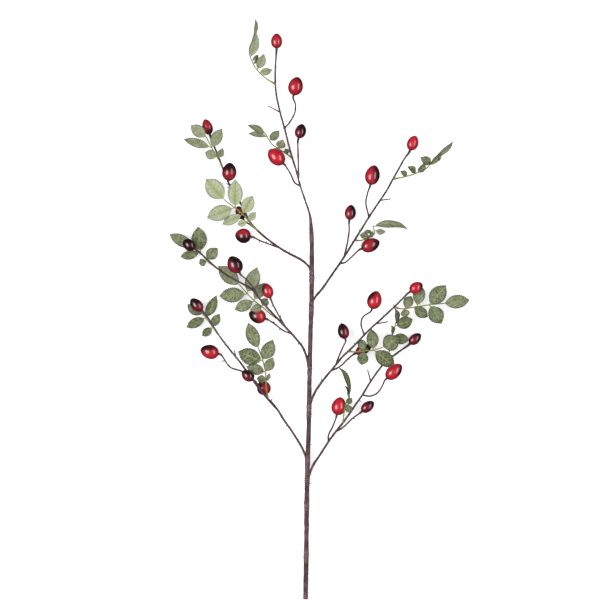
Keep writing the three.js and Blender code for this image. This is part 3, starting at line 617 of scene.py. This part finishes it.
def smooth_route(points, step):
    """Points about a step apart on the smooth curve through the given ones."""
    row = [points[0] * 2 - points[1], *points, points[-1] * 2 - points[-2]]
    route = []
    for before, start, end, after in zip(row, row[1:], row[2:], row[3:]):
        knots = [0.0]
        for a, b in ((before, start), (start, end), (end, after)):
            knots.append(knots[-1] + math.sqrt(max((b - a).length, 1e-6)))
        k0, k1, k2, k3 = knots
        count = max(1, round((end - start).length / step))
        for i in range(count):
            k = k1 + (k2 - k1) * i / count
            a = before.lerp(start, (k - k0) / (k1 - k0))
            b = start.lerp(end, (k - k1) / (k2 - k1))
            c = end.lerp(after, (k - k2) / (k3 - k2))
            d = a.lerp(b, (k - k0) / (k2 - k0))
            e = b.lerp(c, (k - k1) / (k3 - k1))
            route.append(d.lerp(e, (k - k1) / (k2 - k1)))
    return [*route, points[-1].copy()]


def shares_of(route):
    """How far along the route each of its points is, from 0 to 1."""
    lengths = [0.0]
    for a, b in zip(route, route[1:]):
        lengths.append(lengths[-1] + (b - a).length)
    return [length / lengths[-1] for length in lengths]


def tubes(name, limbs, sides):
    """One mesh of closed round tubes. Each limb is (route, radius in millimetres at a share)."""
    data = bpy.data.curves.new(name, "CURVE")
    data.dimensions = "3D"
    data.bevel_depth = MM
    data.bevel_resolution = sides // 2 - 2
    data.use_fill_caps = True
    for route, radius_at in limbs:
        spline = data.splines.new("POLY")
        spline.points.add(len(route) - 1)
        for point, spot, share in zip(spline.points, route, shares_of(route)):
            point.co = (*spot, 1)
            point.radius = radius_at(share)
    made = bpy.data.objects.new(name, data)
    bpy.context.collection.objects.link(made)
    select_only(made)
    bpy.ops.object.convert(target="MESH")
    return bpy.context.view_layer.objects.active


def apply_modifier(piece, kind, **settings):
    """Adds a modifier with its settings and applies it."""
    select_only(piece)
    modifier = piece.modifiers.new(kind.lower(), kind)
    for key, value in settings.items():
        setattr(modifier, key, value)
    bpy.ops.object.modifier_apply(modifier=modifier.name)


def join(first, *others):
    """One object from several, under the first one's name."""
    select_only(first, *others)
    bpy.ops.object.join()
    return first


def store(mesh, **rows):
    """Stores rows of numbers under their names, with one number or one vector for each vertex."""
    for name, values in rows.items():
        is_vector = len(values) > len(mesh.vertices)
        attribute = mesh.attributes.new(name, "FLOAT_VECTOR" if is_vector else "FLOAT", "POINT")
        attribute.data.foreach_set("vector" if is_vector else "value", values)


def copy_of(master):
    """A copy of a master shape, with its own mesh."""
    piece = master.copy()
    piece.data = master.data.copy()
    bpy.context.collection.objects.link(piece)
    return piece


def finish_piece(piece, node, smooth_angle=None):
    """Lifts what dips under the surface, shades a finished piece and ties it to the frame."""
    for vertex in piece.data.vertices:
        vertex.co.z = max(vertex.co.z, cad_box[0][2])
    select_only(piece)
    if smooth_angle is None:
        bpy.ops.object.shade_smooth()
    else:
        bpy.ops.object.shade_smooth_by_angle(angle=math.radians(smooth_angle))
    piece.data.name = piece.name
    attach(piece, "root")
    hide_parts(node)


# The wood, in millimetres where no other unit is given. The flares hold the hips, and their starts are
# shares of the limb's length.
ROUTE_STEP = 1.5 * MM
NECK_FLARE = 0.55
STEM_FLARE_START = 0.98
BRANCH_FLARE_START = 0.94
STALK_FLARE_START = 0.82
STALK_FOOT = 0.15
NECK_RUN = 3.3
NECK_SINK = 0.3
STEM_WAVER = 0.035


def taper(start, end, flare=0.0, flare_start=STALK_FLARE_START):
    """A limb's radius from start to end, with the last stretch flared to hold a hip."""
    return lambda share: start + (end - start) * share + flare * smooth_step(flare_start, 1.0, share)


def stem_radius(share):
    """The main stem keeps its radius up to the end of the old wood, then narrows into the leader."""
    leader = LEADER_RADIUS + (TIP_RADIUS - LEADER_RADIUS) * share
    radius = STEM_RADIUS + (leader - STEM_RADIUS) * smooth_step(WOOD_END, LEADER_START, share)
    radius *= 1 + STEM_WAVER * math.sin(share * 41) * math.sin(share * 17 + 1)
    return radius + NECK_FLARE * smooth_step(STEM_FLARE_START, 1.0, share)


def stalk_points(points, base, tip):
    """The last stretch of a stalk runs straight into the neck of its hip."""
    inward = (tip - base).normalized()
    return [*points, base - inward * NECK_RUN * MM, base + inward * NECK_SINK * MM]


def wood_limbs(name, kind):
    """The limbs of a spray's wood: the main one, then the stalks of its side hips."""
    end_hip, *side_hips = HIPS[name]
    points = [place(row) for row in PATHS[name]]
    route = smooth_route(stalk_points(points, place(end_hip[0]), place(end_hip[1])), ROUTE_STEP)
    radius = taper(BRANCH_RADIUS, TIP_RADIUS, NECK_FLARE, BRANCH_FLARE_START)
    limbs = [(route, stem_radius if kind == "stem" else radius)]
    for base, tip, _, stalk in side_hips:
        points = stalk_points([place(row) for row in stalk], place(base), place(tip))
        route = smooth_route(points, ROUTE_STEP)
        limbs.append((route, taper(STALK_RADIUS + STALK_FOOT, STALK_RADIUS, NECK_FLARE)))
    return limbs


# The bark, in millimetres: its mesh, how far it stands out, how high its ridges, swellings and rings are
# and how far round a joint it is rougher. The scales say how fine the relief is. The grain is squeezed
# along the limbs, and each limb's grain starts at a place of its own.
WOOD_VOXEL = {"stem": 0.5, "branch": 0.42}
BARK_DEPTH = {"stem": 0.25, "branch": 0.2}
BARK_STRENGTH = {"stem": 1, "branch": 0.6}
BARK_RIDGE = 0.19
FINE_RIDGE = 0.6
SCAR_RIDGE = 1.2
BARK_SWELL = 0.3
JOINT_SWELL = 0.35
JOINT_LUMPS = 0.2
RING_SPACING = 2.6
RING_HEIGHT = 0.28
SCAR_REACH = 12.0
SCAR_CORE = 0.35
RIDGE_SCALES = (1.1, 2.6)
LUMP_SCALE = 0.35
SWELL_SCALE = 0.16
GRAIN_SQUEEZE = 0.16
GRAIN_START = 0.05


def grain_of(limbs):
    """A finder for the nearest limb: it gives (outward direction, grain) for a spot on the bark, where
    grain holds the spot's place round the limb and along it in millimetres, squeezed lengthwise."""
    samples = []
    for index, (route, _) in enumerate(limbs):
        length = 0.0
        for a, b in zip(route, route[1:]):
            samples.append((a, (b - a).normalized(), length, index))
            length += (b - a).length
    tree = kdtree.KDTree(len(samples))
    for i, sample in enumerate(samples):
        tree.insert(sample[0], i)
    tree.balance()

    def find(spot):
        _, i, _ = tree.find(spot)
        centre, along, length, index = samples[i]
        offset = spot - centre
        advance = offset.dot(along)
        offset -= along * advance
        beside = along.cross(UP).normalized()
        above = beside.cross(along)
        lengthwise = (length + advance) * GRAIN_SQUEEZE + index * GRAIN_START
        grain = Vector((offset.dot(beside), offset.dot(above), lengthwise))
        return offset.normalized(), grain / MM

    return find


# Thorns and prickles: radii at root and point in millimetres. A thorn of the table that is longer than
# TWIG_LENGTH is a broken twig. The first and last few steps of a limb have no prickles.
THORN_RADII = (0.85, 0.12)
TWIG_RADII = (0.95, 0.65)
TWIG_LENGTH = 8 * MM
THORN_STEP = 0.5 * MM
THORN_HOOK = 0.08
THORN_CURVE = 1.3
PRICKLE_SEED = 7
PRICKLE_SHARE = 0.11
PRICKLE_FREE_STEPS = 4
PRICKLE_ROOT = 0.6
PRICKLE_REACH = (0.8, 1.5)
PRICKLE_LEAN = 0.5
PRICKLE_RADII = (0.5, 0.12)


def thorn_limbs(name, wood):
    """The thorns and broken twigs of the table, each grown from the middle of the nearest limb."""
    limbs = []
    spots = [spot for route, _ in wood for spot in route]
    for root, point in THORNS[name]:
        start = min(spots, key=lambda spot: (spot - place(root)).length)
        end = place(point)
        reach = (end - start).length
        hook = UP * reach * THORN_HOOK
        route = smooth_route([start, start.lerp(end, 0.5) + hook, end], THORN_STEP)
        radii = TWIG_RADII if reach > TWIG_LENGTH else THORN_RADII
        limbs.append((route, lambda share, a=radii[0], b=radii[1]: a + (b - a) * share**THORN_CURVE))
    return limbs


def prickle_limbs(limbs):
    """Small prickles scattered round the limbs, all clear of the surface."""
    chance = random.Random(PRICKLE_SEED)
    made = []
    for route, radius_at in limbs:
        steps = list(zip(route, route[1:], shares_of(route)))
        for here, after, share in steps[PRICKLE_FREE_STEPS:-PRICKLE_FREE_STEPS]:
            along = (after - here).normalized()
            out = along.orthogonal().normalized()
            out.rotate(Quaternion(along, chance.uniform(0, math.tau)))
            reach = radius_at(share) + chance.uniform(*PRICKLE_REACH)
            end = here + (out * reach - along * PRICKLE_LEAN) * MM
            if chance.random() < PRICKLE_SHARE and end.z > cad_box[0][2] + MM:
                start = here + out * radius_at(share) * PRICKLE_ROOT * MM
                made.append(([start, start.lerp(end, 0.5), end], taper(*PRICKLE_RADII)))
    return made


def roughen(piece, find, joints, kind):
    """Raises ridges and swellings on the bark and stores its grain, with rougher bark near the joints."""
    grains, scars = [], []
    for vertex in piece.data.vertices:
        outward, grain = find(vertex.co)
        near = min((vertex.co - joint).length for joint in joints) / MM
        scar = 1 - smooth_step(SCAR_REACH * SCAR_CORE, SCAR_REACH, near)
        ridge = noise.noise(grain * RIDGE_SCALES[0]) + FINE_RIDGE * noise.noise(grain * RIDGE_SCALES[1])
        lump = noise.noise(vertex.co / MM * LUMP_SCALE)
        turn = math.atan2(grain.y, grain.x) + grain.z / GRAIN_SQUEEZE * math.tau / RING_SPACING
        push = BARK_RIDGE * ridge * (1 + SCAR_RIDGE * scar)
        push += (JOINT_SWELL + RING_HEIGHT * math.sin(turn) + JOINT_LUMPS * lump) * scar
        push += BARK_SWELL * noise.noise(vertex.co / MM * SWELL_SCALE)
        vertex.co += outward * (push * BARK_STRENGTH[kind] + BARK_DEPTH[kind]) * MM
        grains.extend(grain)
        scars.append(scar)
    store(piece.data, grain=grains, scar=scars)


def make_wood(name, joints):
    """A spray's wood as one body: limbs grown together, with ridged bark, thorns and prickles."""
    kind, node = ("stem", "main_stem") if name == "leader" else ("branch", "branch_" + name)
    limbs = wood_limbs(name, kind)
    find = grain_of(limbs)
    piece = tubes(node, limbs, sides=12)
    apply_modifier(piece, "REMESH", mode="VOXEL", voxel_size=WOOD_VOXEL[kind] * MM, adaptivity=0.0)
    apply_modifier(piece, "SMOOTH", factor=0.5, iterations=3)
    roughen(piece, find, joints, kind)
    thorns = tubes(node + "_thorns", thorn_limbs(name, limbs) + prickle_limbs(limbs), sides=10)
    grains = [value for vertex in thorns.data.vertices for value in find(vertex.co)[1]]
    store(thorns.data, grain=grains, scar=[0.0] * len(thorns.data.vertices))
    piece = join(piece, thorns)
    piece.name = node + "_bark"
    piece.data.materials.append(OLD_BARK if kind == "stem" else TWIG_BARK)
    finish_piece(piece, node)


# The hip is turned once as a body of unit radius and length, then copied to each place.
# Where the neck ends and the scar begins are shares of the length, and the scar's sink is in millimetres.
HIP_SIDES = 40
HIP_RINGS = 26
CAP_INSETS = (0.35, 0.3)
HIP_FULLNESS = 1.06
HIP_BELLY = 0.87
HIP_UNEVEN = 0.022
NECK_END = 0.07
SCAR_START = 0.97
SCAR_SINK = 0.7
HIP_GRAIN_ROUND = 6
HIP_GRAIN_ALONG = 2.5
# Where the black side ends for a share of 0, and how far that moves for a share of 1. Then how it fades
# into the red, and how much painted rim shade deepens the red where the skin turns away from above.
DARK_EDGE = 1.15
DARK_EDGE_MOVE = 2.2
DARK_FADE = (0.55, 0.5)
DARK_LIFT = 0.1
PAINTED_RIM_SHADE = 0.8
# Where the skin turns dull, from the neck and to the scar, as shares of the length.
DULL_NECK = (0.02, 0.075)
DULL_SCAR = (0.965, 0.99)


def hip_radius(share):
    """The radius of a hip along it, widest below its middle, as a share of its largest."""
    return math.sin(math.pi * off_ends(share) ** HIP_BELLY) ** 0.5


def turn_master_hip():
    """A closed turned body from the neck at z 0 to the flower's scar at z 1."""
    bpy.ops.mesh.primitive_circle_add(vertices=HIP_SIDES, radius=1, fill_type="NGON")
    master = bpy.context.active_object
    bpy.ops.object.mode_set(mode="EDIT")
    bpy.ops.mesh.select_all(action="SELECT")
    for _ in range(HIP_RINGS):
        bpy.ops.mesh.extrude_region_move(TRANSFORM_OT_translate={"value": (0, 0, 1 / HIP_RINGS)})
    for inset in CAP_INSETS:
        bpy.ops.mesh.inset(thickness=inset)
    bpy.ops.mesh.select_all(action="SELECT")
    bpy.ops.mesh.normals_make_consistent(inside=False)
    bpy.ops.object.mode_set(mode="OBJECT")
    master.name = "hip_master"
    return master


def shape_hip(name, index, hip, master):
    """One hip from the master: bellied, with a neck, a slightly uneven skin and a sunken scar."""
    base, tip = place(hip[0]), place(hip[1])
    width = hip[2] * PIXEL * MM * HIP_FULLNESS
    axis = tip - base
    length = axis.length
    axis.normalize()
    turn = UP.rotation_difference(axis)
    piece = copy_of(master)
    dark_x, dark_y, dark_share, red_depth = HIP_SHADES[name][index]
    dark = Vector((dark_x, dark_y, DARK_LIFT)).normalized()
    dark_edge = DARK_EDGE - DARK_EDGE_MOVE * dark_share
    # Each hip lies in a place of its own in the noise.
    seed = Vector((index * 3.1, len(name) * 1.7, base.x * 50))
    shades, depths_and_rim_shades, dulls, grains = [], [], [], []
    for vertex in piece.data.vertices:
        share = vertex.co.z
        ring = Vector((vertex.co.x, vertex.co.y, 0))
        inset = min(1, ring.length)
        direction = ring.normalized()
        # The rings stand closer together towards both ends.
        station = 0.5 - 0.5 * math.cos(math.pi * share)
        neck = HIP_NECK_RADIUS * MM * (1 - smooth_step(0.0, NECK_END, station))
        scar = HIP_SCAR_RADIUS * MM * smooth_step(SCAR_START, 1.0, station)
        belly = width / 2 * hip_radius(station)
        radius = max(belly, neck, scar)
        uneven = 1 + HIP_UNEVEN * noise.noise(direction * 1.1 + Vector((0, 0, station * 1.6)) + seed)
        height = station * length
        if share > 0.999 and inset < 0.9:
            height -= SCAR_SINK * MM * (1 - inset)
        spot = direction * radius * uneven * inset + Vector((0, 0, height))
        vertex.co = turn @ spot + base
        facing = (turn @ (direction * radius + Vector((0, 0, (station - 0.5) * length)))).normalized()
        shades.append(smooth_step(dark_edge - DARK_FADE[0], dark_edge + DARK_FADE[1], facing.dot(dark)))
        # The hip's own deeper red, plus painted shade on the rims where the skin turns away from above.
        depths_and_rim_shades.append(red_depth + PAINTED_RIM_SHADE * (1 - max(0, facing.z)) ** 2)
        dulls.append(max(1 - smooth_step(*DULL_NECK, station), smooth_step(*DULL_SCAR, station)))
        around = [direction[i] * HIP_GRAIN_ROUND + seed[i] for i in (0, 1)]
        grains.extend((*around, station * HIP_GRAIN_ALONG))
    store(piece.data, shade=shades, depth=depths_and_rim_shades, dull=dulls, grain=grains)
    node = f"hip_{name}_{index + 1}"
    piece.name = node + "_skin"
    piece.data.materials.append(HIP_SKIN)
    finish_piece(piece, node)


# The leaflet is a flat grid once, then copied, cut to its toothed outline and bent to its place. Teeth are
# shares of its half width, the fold, arch and droop shares of its size, and the relief is in millimetres.
TEETH = 13
TOOTH_STEPS = 4
BLADE_STEPS = TEETH * TOOTH_STEPS
BLADE_COLUMNS = 12
BLADE_START = 0.08
BLADE_FOLD = 0.2
BLADE_ARCH = 0.09
BLADE_DROOP = 0.05
BLADE_THICKNESS = 0.42
LEAST_HALF_WIDTH = 0.25
BLADE_BELLY = 0.85
BLADE_FULLNESS = 0.7
TIP_TAPER = 0.22
TOOTH_DEPTH = 0.19
TOOTH_REACH = 0.06
TOOTH_LEAN = 0.03
FIRST_TEETH = (0.06, 0.16)
NUDGE = 1e-3
PLEAT = 0.22
GROOVE = 0.25
WAVE = 0.5
TONE_SPREAD = 0.09


def make_master_blade():
    """A flat grid, turned over so that its face looks up once it is laid along a leaflet."""
    bpy.ops.mesh.primitive_grid_add(x_subdivisions=BLADE_STEPS, y_subdivisions=BLADE_COLUMNS, size=2)
    master = bpy.context.active_object
    bpy.ops.object.mode_set(mode="EDIT")
    bpy.ops.mesh.select_all(action="SELECT")
    bpy.ops.mesh.flip_normals()
    bpy.ops.object.mode_set(mode="OBJECT")
    master.name = "blade_master"
    master.data.uv_layers[0].name = "blade"
    return master


def blade_outline(share):
    """Half the blade's width at a share of its length, as a share of the largest, and how far out on a
    tooth that place is, from 0 in a notch to 1 on a point."""
    fullness = BLADE_FULLNESS + TIP_TAPER * smooth_step(0.7, 1.0, share)
    oval = math.sin(math.pi * off_ends(share) ** BLADE_BELLY) ** fullness
    # The nudge keeps a notch from being rounded to the point of the tooth before it.
    tooth = (share * TEETH + NUDGE) % 1 * smooth_step(*FIRST_TEETH, share)
    return oval * (1 + TOOTH_REACH - TOOTH_DEPTH * (1 - tooth)), tooth


def shape_leaflet(leaflet, master, tone, number):
    """One leaflet from the master: toothed, folded along its rib, arched, pleated and a little wavy."""
    base, tip = place(leaflet[0]), place(leaflet[1])
    width, roll = leaflet[2] * PIXEL * MM, math.radians(leaflet[3])
    axis = tip - base
    length = axis.length
    axis.normalize()
    side = axis.cross(UP).normalized()
    side.rotate(Quaternion(axis, roll))
    up = side.cross(axis).normalized()
    piece = copy_of(master)
    for vertex in piece.data.vertices:
        share = vertex.co.x * 0.5 + 0.5
        across = vertex.co.y
        outline, tooth = blade_outline(share)
        half = max(LEAST_HALF_WIDTH * MM, outline * width / 2)
        offset = across * half
        along = BLADE_START + (1 - BLADE_START) * share
        along += TOOTH_LEAN * tooth * across**4 * (1 - share)
        phase = (share * VEIN_PAIRS - abs(across) * VEIN_SLANT) % 1
        pleat = PLEAT * math.sin(math.pi * phase) * 4 * abs(across) * (1 - abs(across))
        groove = -GROOVE * (1 - smooth_step(0.0, 0.12, abs(across)))
        # Both halves of a blade and each leaflet wave in their own way.
        swing = share * 9 + number * 2.1 + (2.0 if across > 0 else 0.0)
        wave = WAVE * across * across * math.sin(swing) * smooth_step(0, 0.2, share)
        fold = BLADE_FOLD * abs(offset) * smooth_step(0.0, 0.2, abs(across))
        arch = math.sin(math.pi * along) * BLADE_ARCH * length
        droop = -BLADE_DROOP * length * smooth_step(0.75, 1.0, share) * share
        lift = arch + droop + fold + (pleat + groove + wave) * MM
        vertex.co = base + axis * along * length + side * offset + up * lift
    store(piece.data, tone=[tone] * len(piece.data.vertices))
    return piece


# The leaf's stalk and the short stalks of its leaflets, in millimetres.
PETIOLE_EXTRA = 0.12
PETIOLE_FOOT = 0.65
PETIOLE_TAPER = 0.2
PETIOLE_STEP = 1.2 * MM
LEAFLET_STALK_RADII = (0.65, 0.45)
LEAFLET_STALK_RISE = 0.35


def leaf_stalk_radius(share):
    """Swollen where it leaves the branch, then slim."""
    foot = PETIOLE_FOOT * (1 - smooth_step(0.0, 0.18, share))
    return PETIOLE_RADIUS + PETIOLE_EXTRA + foot - PETIOLE_TAPER * share


def make_leaf_piece(name, index, leaf, master):
    """A leaf as one piece: its blades with a top and an underside, and its stalk."""
    stalk, leaflets = leaf
    tone = LEAF_TONES[name][index]
    blades = []
    for number, leaflet in enumerate(leaflets):
        varied = tone + TONE_SPREAD * math.sin(number * 2.4 + index)
        blades.append(shape_leaflet(leaflet, master, varied, number))
    piece = join(*blades)
    for material in (LEAF_TOP, LEAF_UNDER, LEAF_STALK):
        piece.data.materials.append(material)
    wall = {"thickness": BLADE_THICKNESS * MM, "offset": 0.0}
    apply_modifier(piece, "SOLIDIFY", **wall, material_offset=1, material_offset_rim=0)
    route = smooth_route([place(row) for row in stalk], PETIOLE_STEP)
    limbs = [(route, leaf_stalk_radius)]
    for base, tip, *_ in leaflets:
        start, end = place(base), place(tip)
        reach = start.lerp(end, BLADE_START * 1.6) + UP * (LEAFLET_STALK_RISE * MM)
        limbs.append(([start, start.lerp(reach, 0.5), reach], taper(*LEAFLET_STALK_RADII)))
    stalks = tubes("leaf_stalks", limbs, sides=8)
    stalks.data.materials.append(LEAF_STALK)
    piece = join(piece, stalks)
    node = f"leaf_{name}_{index + 1}"
    piece.name = node + "_blades"
    finish_piece(piece, node, smooth_angle=50)


# Two old scars on the main stem, as places.
OLD_SCARS = [(306.8, 505, 5), (306.4, 556, 3)]


def branch_joints():
    """Where the side branches leave the main stem, and the old scars lower down."""
    starts = [path[0] for name, path in PATHS.items() if name != "leader"]
    return [place(row) for row in starts + OLD_SCARS]


def make_sprig():
    """All pieces of all sprays. The two master shapes go once they have been copied."""
    hip_master = turn_master_hip()
    blade_master = make_master_blade()
    joints = branch_joints()
    for name in PATHS:
        make_wood(name, joints)
        for index, hip in enumerate(HIPS[name]):
            shape_hip(name, index, hip, hip_master)
        for index, leaf in enumerate(LEAVES[name]):
            make_leaf_piece(name, index, leaf, blade_master)
    for master in (hip_master, blade_master):
        bpy.data.objects.remove(master, do_unlink=True)


make_sprig()


# Floor and light, in metres.
FLOOR_SIZE = 12
FLOOR_DROP = 0.0001


def make_floor():
    """Plain white paper, a hair below the sprig."""
    bpy.ops.mesh.primitive_plane_add(size=FLOOR_SIZE, location=(0, 0, -FLOOR_DROP))
    floor = bpy.context.active_object
    floor.name = "floor"
    constants = {"Base Color": (0.9, 0.9, 0.9, 1), "Roughness": 0.9}
    constants |= {"Emission Color": (1, 1, 1, 1), "Emission Strength": 0.4}
    finish = Finish("floor_paper", constants)
    floor.data.materials.append(finish.material)
    floor.visible_glossy = False
    floor.visible_diffuse = False


def make_light(name, spot, size, energy, shows_in_gloss=True):
    """A soft rectangular light that faces the middle of the sprig."""
    data = bpy.data.lights.new(name, "AREA")
    data.shape = "RECTANGLE"
    data.size, data.size_y = size
    data.energy = energy
    light = bpy.data.objects.new(name, data)
    light.location = spot
    light.rotation_mode = "QUATERNION"
    light.rotation_quaternion = (-Vector(spot)).to_track_quat("-Z", "Y")
    light.visible_camera = False
    light.visible_glossy = shows_in_gloss
    bpy.context.collection.objects.link(light)


def make_world():
    """Even white light from all round, which the gloss doesn't show."""
    world = bpy.data.worlds.new("studio")
    bpy.context.scene.world = world
    world.use_nodes = True
    background = world.node_tree.nodes["Background"]
    background.inputs["Color"].default_value = (1, 1, 1, 1)
    background.inputs["Strength"].default_value = 0.5
    world.cycles_visibility.glossy = False


make_floor()
make_light("overhead", spot=(-0.2, 0.2, 3.0), size=(1.4, 1.4), energy=14, shows_in_gloss=False)
make_light("left_softbox", spot=(-1.7, -0.1, 2.1), size=(1.9, 1.4), energy=46)
make_light("right_softbox", spot=(1.9, 0.2, 1.9), size=(2.8, 0.8), energy=26)
make_world()
bpy.context.scene.view_settings.view_transform = "Standard"
